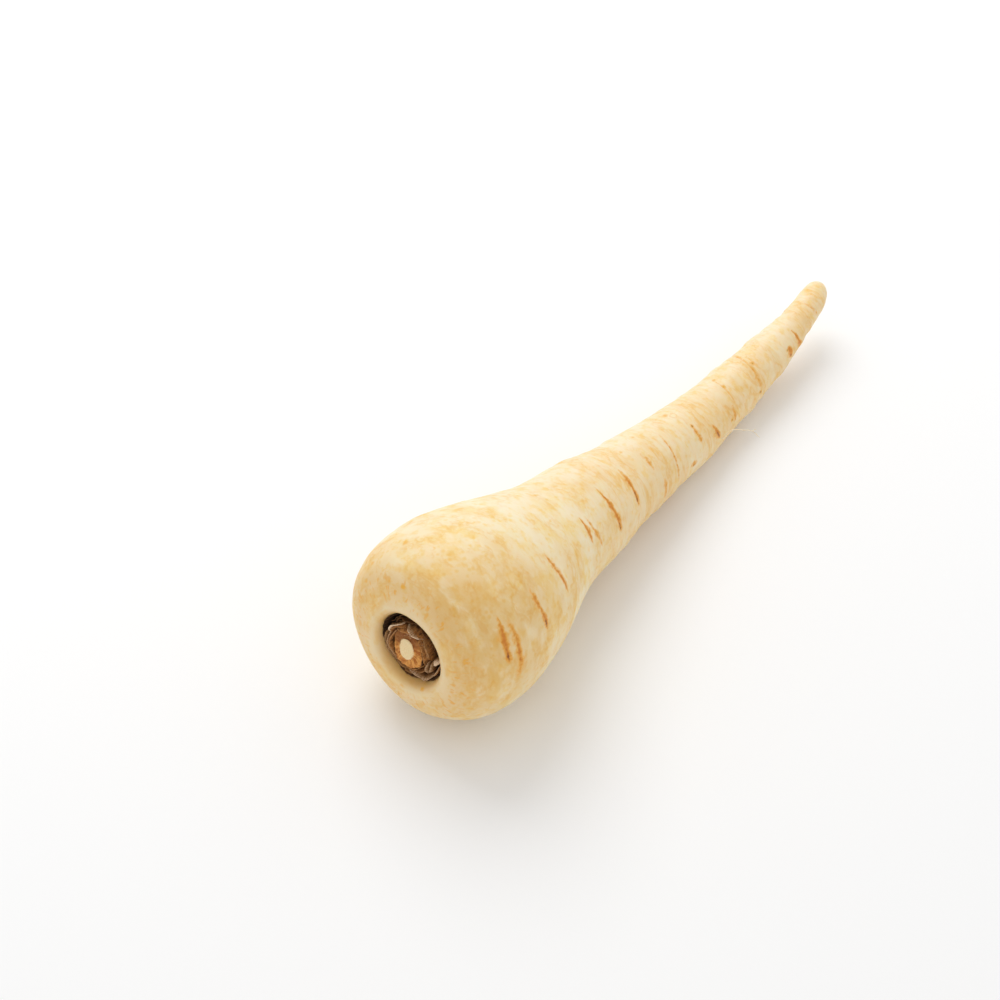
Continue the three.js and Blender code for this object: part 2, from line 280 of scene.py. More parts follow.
# How far the ring of old stalks reaches, as [degrees, share of the outline's radius].
RING_REACH = np.array([
    [0, 0.9],
    [23, 0.87],
    [65, 1.04],
    [108, 0.95],
    [138, 0.92],
    [165, 1.03],
    [190, 1.05],
    [225, 1.06],
    [302, 1.05],
    [340, 0.97],
])
CUT_SLANT = 8  # degrees
CUT_LOW_SIDE = 318  # degrees
STUB_ROWS = 90
STUB_COLUMNS = 160
PITH_MIDDLE = (-0.0001, -0.0009)
PITH_STRETCH = 0.22  # how much longer than round the pith is, along PITH_LONG_WAY
PITH_LONG_WAY = 82  # degrees
RING_DARK_SIDE = 290  # degrees
RING_FIBRES = 0.00013  # height, as for the next three
RING_GRAIN = 0.00011
PITH_GRAIN = 0.00004
RIND_ROUGHNESS = 0.00018

# The crater's wall less a thin gap, as a cone round the crater's middle.
WALL_RADIUS = 0.0121  # at the crown plane
WALL_FLARE = 0.22
BORE_RADIUS = 0.0069  # round the stub
COLLAR_TOP = -0.0015
COLLAR_KNEE = -0.004
COLLAR_FOOT_RADIUS = 0.0086
COLLAR_ROUGHNESS = 0.00035

# The torn sheaths, as (place between the stub at 0 and the wall at 1 where the sheath starts, has
# its middle and ends, first and last angle, height, rag of the edge, lean of the edge away from
# the stub, thickness, how warm its brown is, how pale and papery its edge is). They nest round
# the stub, then come folds that cross from the stub to the wall, and the wall's own rows.
SHEATHS = (
    (0, 0, 0, -40, 75, 0.0038, 0.0003, -0.0006, 0.0014, 1, 0.2),
    (0, 0, 0.02, 60, 160, 0.004, 0.0003, -0.0006, 0.0011, 1, 0.15),
    (0, 0, 0, 150, 255, 0.0041, 0.0002, -0.0005, 0.0017, 1, 0.05),
    (0, 0, 0, 236, 335, 0.0036, 0.0003, -0.0005, 0.0017, 1, 0.05),
    (0.16, 0.16, 0.12, 180, 262, 0.0038, 0.0003, 0.0001, 0.0012, 1, 0.1),
    (0.12, 0.14, 0.16, 280, 352, 0.0034, 0.0003, 0.0001, 0.0012, 0.9, 0.1),
    (0.12, 0.12, 0.18, -18, 66, 0.0036, 0.0003, 0.0001, 0.001, 0.9, 0.55),
    (0.16, -0.04, 0.1, 232, 286, 0.0041, 0.0002, 0.0001, 0.0013, 1, 0.9),
    (0.28, 0.24, 0.1, 296, 352, 0.0038, 0.0002, 0.0001, 0.001, 0.6, 1),
    (0.12, 0.3, 0.34, 190, 240, 0.0041, 0.0002, 0.0001, 0.0009, 0.9, 0.45),
    (0.14, 0.16, 0.2, 100, 170, 0.003, 0.0005, 0.0003, 0.0006, 0.9, 0.3),
    (0.26, 0.2, 0.14, 62, 92, 0.004, 0.0005, 0.0002, 0.0007, 0.6, 0.4),
    (0.3, 0.34, 0.38, -14, 60, 0.0032, 0.0004, 0.0002, 0.0009, 0.8, 0.4),
    (0.52, 0.55, 0.6, -24, 70, 0.003, 0.0004, 0.0002, 0.0009, 0.6, 0.45),
    (0.55, 0.52, 0.46, 200, 262, 0.0022, 0.0006, 0.0003, 0.0009, 0.3, 0.05),
    (0.56, 0.5, 0.4, 255, 338, 0.0018, 0.0007, 0.0002, 0.0009, 0.15, 0.1),
    (0.4, 0.46, 0.52, 70, 116, 0.0026, 0.0006, 0.0004, 0.0006, 0.6, 0.3),
    (0.78, 0.74, 0.7, 240, 340, 0.001, 0.0006, 0.0003, 0.0008, 0.12, 0.12),
    (0.76, 0.78, 0.8, 5, 90, 0.0027, 0.0004, 0.0002, 0.0008, 0.5, 0.4),
    (0.84, 0.8, 0.78, 192, 255, 0.001, 0.0005, 0.0002, 0.0008, 0.2, 0.08),
    (0.46, 0.7, 0.94, 188, 198, 0.004, 0.0003, 0.0001, 0.0007, 0.6, 1),
    (0.14, 0.3, 0.52, 180, 146, 0.0037, 0.0004, 0.0001, 0.0007, 0.6, 0.6),
    (0.42, 0.52, 0.7, 186, 154, 0.0037, 0.0004, 0.0001, 0.0007, 0.6, 0.6),
    (0.96, 0.86, 0.72, 188, 152, 0.0038, 0.0004, -0.0002, 0.0007, 0.5, 0.6),
    (0.26, 0.44, 0.6, 134, 128, 0.0028, 0.0005, 0.0003, 0.0006, 0.5, 0.4),
    (0.52, 0.52, 0.8, 80, 150, 0.0032, 0.0003, 0.0001, 0.0006, 0.5, 0.65),
    (1, 1, 1, -62, 55, 0.0027, 0.0003, 0, 0.0006, 0, 0),
    (1, 1, 1, 35, 135, 0.0024, 0.0003, 0, 0.0006, 0.3, 0),
    (1, 1, 1, 110, 198, 0.0024, 0.0003, 0, 0.0006, 0.1, 0),
    (1, 1, 1, 180, 310, 0.0017, 0.0004, 0, 0.0006, 0, 0),
)
WALL_SHEATHS = 4
SHEATH_FOOT = -0.0026
SHEATH_STEP = 0.0003
SHEATH_LEVELS = (0, 0.2, 0.4, 0.55, 0.7, 0.8, 0.88, 0.94, 0.98, 1)  # rows from foot to edge
SHEATH_BEND = 0.0005  # how far a sheath's edge wanders
SHEATH_CURL = 0.0006  # how far the palest edges curl away from the stub
SHEATH_RIBS = 0.00007  # height of the fine upright ribs on a sheath
FIBRE_COUNT = 60
FIBRE_RADIUS = 0.00008
FIBRE_ARC = 40  # degrees that a sheath covers at least where fibres stand from it
FIBRE_SEED = 31

# ---- Colours, as linear red, green and blue ----

CREAM = (0.92, 0.79, 0.54)
TAN = (0.87, 0.655, 0.34)
YELLOW = (0.81, 0.56, 0.24)
OCHRE = (0.76, 0.45, 0.15)
ORANGE = (0.84, 0.42, 0.06)
RUST = (0.66, 0.22, 0.02)
UMBER = (0.20, 0.065, 0.018)
TAIL_TAN = (0.88, 0.66, 0.40)
PAINTED_LIGHT_CREAM = (0.93, 0.83, 0.64)
LIP_HIGHLIGHT_TAN = (0.84, 0.66, 0.39)
CRATER_SHADE_BROWN = (0.74, 0.43, 0.13)
SPOT_ORANGE = (0.84, 0.43, 0.05)
GOLD_TINT = (0.98, 0.82, 0.36)
AMBER_TINT = (0.95, 0.74, 0.34)
ROOTLET_CREAM = (0.90, 0.80, 0.60)
ROOTLET_TAN = (0.80, 0.60, 0.34)

SHEATH_DARK = (0.022, 0.009, 0.003)
SHEATH_BROWN = (0.125, 0.056, 0.019)
SHEATH_RUST = (0.27, 0.095, 0.022)
SHEATH_ORANGE = (0.60, 0.28, 0.085)
SHEATH_DIRT = (0.030, 0.014, 0.006)
SHEATH_SHADE_BLACK = (0.010, 0.005, 0.003)
EDGE_TAN = (0.38, 0.195, 0.070)
EDGE_CREAM = (0.88, 0.64, 0.42)

RING_BROWN = (0.42, 0.13, 0.022)
RING_ORANGE = (0.77, 0.365, 0.088)
RING_SHADE = (0.20, 0.062, 0.013)
RIND_DARK = (0.035, 0.018, 0.010)
RIND_BROWN = (0.17, 0.085, 0.04)
PITH_CREAM = (0.90, 0.71, 0.41)
PITH_TAN = (0.84, 0.61, 0.30)

# The skin's mottling, each kind drawn with one noise, as (its size along the root over that round
# it, steps of the noise in a metre, its detail, roughness and distortion, the value at which the
# colour begins, the value at which it is full, its strength). The two kinds of thin lines have
# the value that they follow and their half width instead of the two values.
MOTTLING = {
    "broad": (1, 48, 3, 0.6, 0, 0.36, 0.66, 0.85),
    "pale": (0.6, 120, 4, 0.6, 0.3, 0.47, 0.66, 0.5),
    "patches": (0.6, 135, 4, 0.6, 0, 0.44, 0.66, 0.55),
    "flecks": (0.8, 340, 4, 0.6, 0, 0.48, 0.68, 0.5),
    "dotted": (1, 170, 2, 0.5, 0, 0.46, 0.62, 1),
    "netted": (1, 95, 2, 0.5, 0, 0.45, 0.6, 1),
    "net lines": (0.6, 230, 3, 0.6, 0.3, 0.5, 0.09, 0.45),
    "streaks": (0.15, 620, 3, 0.6, 0, 0.5, 0.66, 0.3),
    "bands": (0.36, 110, 5, 0.6, 0.2, 0.44, 0.66, 1),
    "band lines": (0.4, 230, 3, 0.6, 0.4, 0.5, 0.07, 1),
}
# Steps in a metre of the dots, of the ragged rims of spots and stains, and of the pores.
DOT_SCALE = 430
SPOT_RAG_SCALE = 900
STAIN_RAG_SCALE = 800
PORE_SCALE = 1900
DASH_SCALE = 17  # of the dashes round the lip, where a turn is about 6 long

# ---- Camera and light ----

CAMERA_PLACE = (-0.3960, -0.2616, 0.5285)
CAMERA_HEADING = 39.3  # over the ground, from +X towards +Y
CAMERA_PITCH = 48  # below the horizon
CAMERA_LENS = 70  # mm, on a sensor of the next width
CAMERA_SENSOR = 36
LIGHT_PLACE = (0.35, 0.62, 0.95)
LIGHT_AIM = (-0.02, 0, 0.02)
LIGHT_SIZE = 0.9
LIGHT_POWER = 6.0  # W
LIGHT_COLOUR = (0.99, 0.985, 0.975)
WORLD_STRENGTH = 0.75
FLOOR_WIDTH = 6.0
FLOOR_WHITE = (0.96, 0.96, 0.96)


# ---- Curves, noise and meshes ----

def smooth_curve(places, values):
    """A function of place through values, level with the parabola through each three."""
    values = np.asarray(values, float)
    shape = (-1,) + (1,) * (values.ndim - 1)
    gaps = np.diff(places).reshape(shape)
    slopes = np.diff(values, axis=0) / gaps
    tangents = np.empty_like(values)
    tangents[0], tangents[-1] = slopes[0], slopes[-1]
    tangents[1:-1] = (slopes[:-1] * gaps[1:] + slopes[1:] * gaps[:-1]) / (gaps[1:] + gaps[:-1])

    def at(place):
        place = np.asarray(place, float)
        i = np.clip(np.searchsorted(places, place, side="right") - 1, 0, len(places) - 2)
        span = (places[i + 1] - places[i]).reshape(place.shape + shape[1:])
        offset = (place - places[i]).reshape(place.shape + shape[1:])
        u = np.clip(offset / span, 0, 1)
        inside = (
            (1 + 2 * u) * (1 - u) ** 2 * values[i]
            + u * (1 - u) ** 2 * span * tangents[i]
            + u * u * (3 - 2 * u) * values[i + 1]
            + u * u * (u - 1) * span * tangents[i + 1]
        )
        beyond = np.minimum(offset, 0) * tangents[0] + np.maximum(offset - span, 0) * tangents[-1]
        return inside + beyond

    return at


def spread_places(points):
    """Places for a curve through an outline's points, closer together where they are close."""
    chords = np.hypot(*np.diff(points, axis=0).T)
    return np.concatenate([[0], np.cumsum(np.sqrt(chords * 1000))])


def noise(points, size, seed):
    """Smooth noise from about -1 to 1, with bumps of that size."""
    lattice = np.random.default_rng(seed).uniform(-1, 1, (NOISE_LATTICE,) * 3)
    cell = points / size
    low = np.floor(cell).astype(int)
    blend = cell - low
    blend = blend * blend * (3 - 2 * blend)
    total = np.zeros(points.shape[:-1])
    for corner in itertools.product((0, 1), repeat=3):
        weight = np.prod(np.where(corner, blend, 1 - blend), axis=-1)
        index = (low + corner) % NOISE_LATTICE
        total += weight * lattice[index[..., 0], index[..., 1], index[..., 2]]
    return NOISE_GAIN * total


def smoothstep(low, high, value):
    share = np.clip((value - low) / (high - low), 0, 1)
    return share * share * (3 - 2 * share)


def bell(value, middle, reach):
    """A share that is 1 in the middle and fades out on both sides."""
    return np.exp(-(((value - middle) / reach) ** 2))


def unit(directions):
    return directions / np.linalg.norm(directions, axis=-1, keepdims=True)


def vectors(x, y, z):
    """Points from their coordinates, which may be numbers or arrays that fit each other."""
    return np.stack(np.broadcast_arrays(x, y, z), axis=-1)


def placed(name, data):
    """A new object of that data, in the scene."""
    thing = bpy.data.objects.new(name, data)
    bpy.context.scene.collection.objects.link(thing)
    return thing


def grid_object(name, points, attributes, ring_shaped=False):
    """A closed mesh from rows of points, each row a loop that is joined to the next row. Fans to
    their middles close the first and last rows, or the last is joined to the first where
    ring_shaped. Each attribute is a number or an array that fits the rows and columns."""
    rows, columns = points.shape[:2]
    vertices = points.reshape(-1, 3)
    faces = []
    for i in range(rows if ring_shaped else rows - 1):
        here, after = i * columns, (i + 1) % rows * columns
        for j in range(columns):
            k = (j + 1) % columns
            faces.append((here + j, here + k, after + k, after + j))
    if not ring_shaped:
        vertices = np.vstack([vertices, points[0].mean(0), points[-1].mean(0)])
        first, end = rows * columns, (rows - 1) * columns
        for j in range(columns):
            k = (j + 1) % columns
            faces.append((first, k, j))
            faces.append((first + 1, end + j, end + k))
    mesh = bpy.data.meshes.new(name)
    mesh.from_pydata(vertices.tolist(), [], faces)
    mesh.update()
    for key, values in attributes.items():
        values = np.asarray(values, np.float32)
        is_vector = values.ndim == 3
        values = np.broadcast_to(values, points.shape if is_vector else (rows, columns))
        flat = values.reshape(rows * columns, -1)
        if not ring_shaped:
            ends = [row.reshape(columns, -1).mean(0) for row in (values[0], values[-1])]
            flat = np.vstack([flat, *ends])
        kind, field = ("FLOAT_VECTOR", "vector") if is_vector else ("FLOAT", "value")
        attribute = mesh.attributes.new(key, kind, "POINT")
        attribute.data.foreach_set(field, flat.ravel())
    mesh.polygons.foreach_set("use_smooth", [True] * len(mesh.polygons))
    return placed(name, mesh)


def joined(name, things):
    """One object from several, which are removed."""
    bpy.ops.object.select_all(action="DESELECT")
    for thing in things:
        thing.select_set(True)
    bpy.context.view_layer.objects.active = things[0]
    bpy.ops.object.join()
    things[0].name = things[0].data.name = name
    return things[0]


def tube(name, path, radii, sides, **attributes):
    """A thin round tube along a path."""
    ahead = unit(np.gradient(path, axis=0))
    is_steep = np.abs(ahead[:, 2:]) >= 0.9
    aside = unit(np.cross(ahead, np.where(is_steep, [1.0, 0.0, 0.0], [0.0, 0.0, 1.0])))
    above = np.cross(ahead, aside)
    angle = np.arange(sides)[:, None] * 2 * np.pi / sides
    ring = np.cos(angle) * aside[:, None] + np.sin(angle) * above[:, None]
    points = path[:, None] + np.asarray(radii)[:, None, None] * ring
    return grid_object(name, points, {"place": points, **attributes})


# ---- Material nodes ----

class Shader:
    """A material's nodes, with short ways to add those used here."""

    def __init__(self, name):
        self.material = bpy.data.materials.new(name)
        self.material.use_nodes = True
        self.tree = self.material.node_tree
        self.tree.nodes.clear()
        self.surface = self.tree.nodes.new("ShaderNodeBsdfPrincipled")
        output = self.tree.nodes.new("ShaderNodeOutputMaterial")
        self.tree.links.new(self.surface.outputs[0], output.inputs["Surface"])
        self.colour = None

    def feed(self, value, socket):
        if isinstance(value, bpy.types.NodeSocket):
            self.tree.links.new(value, socket)
        elif isinstance(value, tuple) and len(value) < len(socket.default_value):
            socket.default_value = (*value, 1)  # an opaque colour
        else:
            socket.default_value = value

    def node(self, kind, inputs, output=0, **settings):
        """Add a node with these settings, feed its inputs and give its output."""
        node = self.tree.nodes.new("ShaderNode" + kind)
        for key, value in settings.items():
            setattr(node, key, value)
        for key, value in inputs.items():
            self.feed(value, node.inputs[key])
        return node.outputs[output]

    def attribute(self, name, output="Fac"):
        return self.node("Attribute", {}, output, attribute_name=name)

    def stretched(self, vector, scale):
        return self.node("Mapping", {"Vector": vector, "Scale": scale})

    def noise(self, vector, scale, detail=3, roughness=0.6, distortion=0.0):
        inputs = {"Vector": vector, "Scale": scale, "Detail": detail}
        return self.node("TexNoise", {**inputs, "Roughness": roughness, "Distortion": distortion})

    def cells(self, vector, scale):
        """How far it is to the nearest of many scattered points, in steps between them."""
        return self.node("TexVoronoi", {"Vector": vector, "Scale": scale}, "Distance")

    def distance(self, vector, point):
        return self.node("VectorMath", {0: vector, 1: point}, "Value", operation="DISTANCE")

    def math(self, operation, a, b=0.0):
        return self.node("Math", {0: a, 1: b}, operation=operation)

    def times(self, a, b):
        return self.math("MULTIPLY", a, b)

    def plus(self, a, b):
        return self.math("ADD", a, b)

    def greater(self, a, b):
        return self.math("MAXIMUM", a, b)

    def apart(self, a, b):
        """How far apart two values are."""
        return self.math("ABSOLUTE", self.math("SUBTRACT", a, b))

    def ranged(self, value, low, high, to_low=0.0, to_high=1.0):
        """Smoothly from to_low, where the value is low, to to_high, where it is high."""
        inputs = {"Value": value, "From Min": low, "From Max": high}
        inputs.update({"To Min": to_low, "To Max": to_high})
        return self.node("MapRange", inputs, interpolation_type="SMOOTHSTEP")

    def mix(self, share, a, b, blend="MIX"):
        inputs = {0: share, 6: a, 7: b}  # 6 and 7 are its colour inputs, and 2 its colour output
        return self.node("Mix", inputs, 2, data_type="RGBA", blend_type=blend)

    def lay(self, share, colour, strength=1.0):
        """Lay a colour over the material's."""
        self.colour = self.mix(self.times(share, strength), self.colour, colour)

    def tint(self, share, colour):
        """Multiply the material's colour by another."""
        self.colour = self.mix(share, self.colour, colour, "MULTIPLY")

    def bump(self, height, distance, strength):
        return self.node("Bump", {"Height": height, "Distance": distance, "Strength": strength})

    def finish(self, **values):
        """Set the surface's colour and its other values, and give the material."""
        for key, value in {"Base_Color": self.colour, **values}.items():
            self.feed(value, self.surface.inputs[key.replace("_", " ")])
        return self.material


# ---- The root ----

centre = smooth_curve(CENTRE_LINE[:, 0], CENTRE_LINE[:, 1:])
outline_places = spread_places(OUTLINE)
outline = smooth_curve(outline_places, OUTLINE)
# The outline again in short steps, with how far along the skin each step is from the lip.
fine_places = np.linspace(outline_places[0], outline_places[-1], 6000)
fine_profile = outline(fine_places)
fine_steps = np.concatenate([[0], np.hypot(*np.diff(fine_profile, axis=0).T)])
fine_arc = np.cumsum(fine_steps)
fine_arc = fine_arc - np.interp(outline_places[LIP_POINT], fine_places, fine_arc)


def section_planes(x):
    """The planes across the root at each x: middle, direction to the tip, side and top."""
    reach = 5e-5
    x = np.asarray(x, float)
    middle = np.concatenate([x[..., None], centre(x)], axis=-1)
    rise = centre(x + reach) - centre(x - reach)
    ahead = unit(np.concatenate([np.full(x.shape + (1,), 2 * reach), rise], axis=-1))
    side = unit(np.cross([0.0, 0.0, 1.0], ahead))
    return middle, ahead, side, np.cross(ahead, side)


def lip_share(places):
    """How fully the lip's lean is taken up at places on the outline."""
    start, full, last_full, end = outline_places[list(LIP_LEAN_POINTS)]
    return smoothstep(start, full, places) * (1 - smoothstep(last_full, end, places))


def to_footprint(points):
    """From coordinates that start on the crown plane to the part's own."""
    return points - [FOOTPRINT_MIDDLE_X, FOOTPRINT_MIDDLE_Y, 0]


def all_furrows():
    """The listed furrows and the seeded ones."""
    draw = np.random.default_rng(FURROW_SEED)
    furrows = list(FURROWS)
    for start, end, step, middles, half_arcs, depths, rusts in SEEDED_FURROWS:
        x = start
        while x < end:
            middle = draw.uniform(*middles)
            half_arc = draw.uniform(*half_arcs)
            depth = draw.uniform(*depths)
            half_width = 0.00025 + 0.3 * depth
            tilt = draw.uniform(-0.001, 0.001)
            furrows.append((x, middle, half_arc, depth, half_width, draw.uniform(*rusts), tilt))
            x += step * draw.uniform(0.7, 1.3)
    return furrows


def skin_rows(furrows):
    """The places of the skin's rows on the outline, closer together across each furrow, and how
    far along the skin each is from the lip."""
    crowding = np.where(fine_arc < DEEP_ARC, 0.5, 1.0)
    for x, _, _, _, half_width, _, tilt in furrows:
        reach = 2.5 * half_width + 0.6 * abs(tilt)
        crowding = crowding + 2.2 * bell(fine_profile[:, 0], x, reach) * (fine_arc > 0)
    crowded = np.cumsum(crowding * fine_steps)
    wanted = np.linspace(0, crowded[-1], SKIN_ROWS + 2)[1:-1]
    places = np.interp(wanted, crowded, fine_places)
    return places, np.interp(places, fine_places, fine_arc)


def furrow_relief(x, degrees, furrows, straight):
    """How far the furrows raise the skin over the grid, or lower it, and the layers of colour:
    how rusty they are, where they are darkest, where the skin before them is golden, and their
    banks, which carry a painted highlight."""
    relief = np.zeros((len(x), len(degrees)))
    layers = {name: np.zeros_like(relief) for name in ("rust", "umber", "halo", "banks")}
    for index, (at_x, middle, half_arc, depth, half_width, rusty, tilt) in enumerate(furrows):
        near = np.abs(x - at_x) < FURROW_REACH
        along_arc = ((degrees - middle + 540) % 360 - 180) / half_arc
        inside = np.clip(1 - along_arc**2, 0, 1)
        from_widest = along_arc - FURROW_SKEW
        to_end = 1 + np.where(from_widest < 0, FURROW_SKEW, -FURROW_SKEW)
        fullness = np.clip(1 - (from_widest / to_end) ** 2, 0, 1)
        bed = at_x + tilt * np.clip(along_arc, -1.2, 1.2)
        wander = noise(straight[near], 0.008, 100 + index) * FURROW_WANDER
        past_bed = x[near, None] - bed - wander
        away = past_bed / (half_width * (0.35 + 0.65 * fullness))
        frayed = 0.85 + 0.4 * noise(straight[near], 0.0025, 300 + index)
        across = away / np.clip(frayed, 0.45, 1.3)
        patchy = smoothstep(-0.6, 0.3, noise(straight[near], 0.005, 500 + index))

        groove = GROOVE_SHARE * depth * np.sqrt(inside) * np.exp(-(across**2))
        bank = inside * np.exp(-((np.abs(away) - BANK_PLACE) ** 2) / 1.3)
        stain = rusty * fullness**0.4 * np.clip(1.1 - np.abs(across) / STAIN_WIDTHS, 0, 1)
        dark = rusty * smoothstep(-0.3, 0.7, along_arc) * fullness**0.5 * patchy
        dark = dark * np.clip(1.1 - np.abs(across) / DARK_WIDTHS, 0, 1)
        before = inside * smoothstep(0.0004, 0.0012, depth) * bell(past_bed, *HALO_BAND)
        relief[near] += BANK_SHARE * depth * bank - groove
        stain = stain * (0.84 + 0.16 * patchy)
        # where a painted highlight lies along the banks
        bank = bank * np.clip(depth / 0.0006, 0, 1.2)
        for layer, here in zip(layers.values(), (stain, dark, before, bank)):
            layer[near] = np.maximum(layer[near], here)
    return relief, layers


def on_straight(arc, degrees):
    """Where a point of the skin is on the straightened root."""
    radius = float(np.interp(arc, fine_arc, fine_profile[:, 1]))
    angle = math.radians(degrees)
    return (arc, radius * math.cos(angle), radius * math.sin(angle))


def root_skin():
    furrows = all_furrows()
    places, arc = skin_rows(furrows)
    profile = outline(places)
    x, radius = profile[:, :1], profile[:, 1:]
    degrees = (np.arange(SKIN_COLUMNS) + 0.5) * 360 / SKIN_COLUMNS
    angle = np.radians(degrees)

    def facing(side_degrees):
        return np.cos(angle - math.radians(side_degrees))

    straight = vectors(arc[:, None], radius * np.cos(angle), radius * np.sin(angle))
    relief, layers = furrow_relief(profile[:, 0], degrees, furrows, straight)
    arc = arc[:, None]

    tail = smoothstep(*TAIL_START, x)
    outside = smoothstep(-0.002, 0.006, arc)
    rise = 0
    for seed, (size, squeeze, on_bulb, on_tail, in_crater) in enumerate(SKIN_RELIEF, 1):
        height = on_bulb + (on_tail - on_bulb) * tail
        bumps = height * noise(straight * [1, squeeze, squeeze], size, seed)
        rise = rise + bumps * (1 if in_crater else outside)
    rise = relief + rise * smoothstep(0, 0.0035, radius)

    middle, ahead, side, top = (part[:, None] for part in section_planes(profile[:, 0]))
    step = 1e-3
    heading = unit(outline(places + step) - outline(places - step))[..., None, None]
    outward = np.cos(angle)[:, None] * side + np.sin(angle)[:, None] * top
    out_of_skin = heading[:, 0] * outward - heading[:, 1] * ahead
    lean = LIP_LEAN * lip_share(places)[:, None] * radius * facing(LIP_LEAN_BACK)
    points = middle + radius[..., None] * outward
    points = points + rise[..., None] * out_of_skin + lean[..., None] * ahead
    points[..., 2] = np.maximum(points[..., 2], 0)

    # The shoulder's yellow is the skin's own; its extra depth and reach on the side turned from the
    # light is painted shade.
    on_shade_side = np.clip(facing(SHOULDER_SHADE_SIDE), 0, 1) ** 4
    past = arc > SHOULDER_ARC
    shoulder = bell(arc, SHOULDER_ARC, SHOULDER_REACH * (1 + 0.85 * on_shade_side * past))
    shoulder = shoulder * (1 + 0.4 * noise(straight, 0.013, 6)) * (0.6 + 0.8 * on_shade_side)
    attributes = {
        **layers,
        "place": straight,
        "shoulder": shoulder,
        "around": vectors(np.cos(angle), np.sin(angle), arc / 0.05),
        # painted light: paler on the side that faces the light
        "upper": smoothstep(0.5, 1.0, facing(LIT_SIDE)) * smoothstep(*LIT_SIDE_START, x),
        "near_lip": bell(arc, *DASH_BAND),
        # painted highlight along the lip's crest
        "lip": bell(arc, *LIP_HIGHLIGHT_BAND),
        # painted shade inside the crater
        "crater": 1 - smoothstep(-0.004, 0.0, arc),
        "tail": tail,
    }
    return grid_object("root_skin", to_footprint(points), attributes)


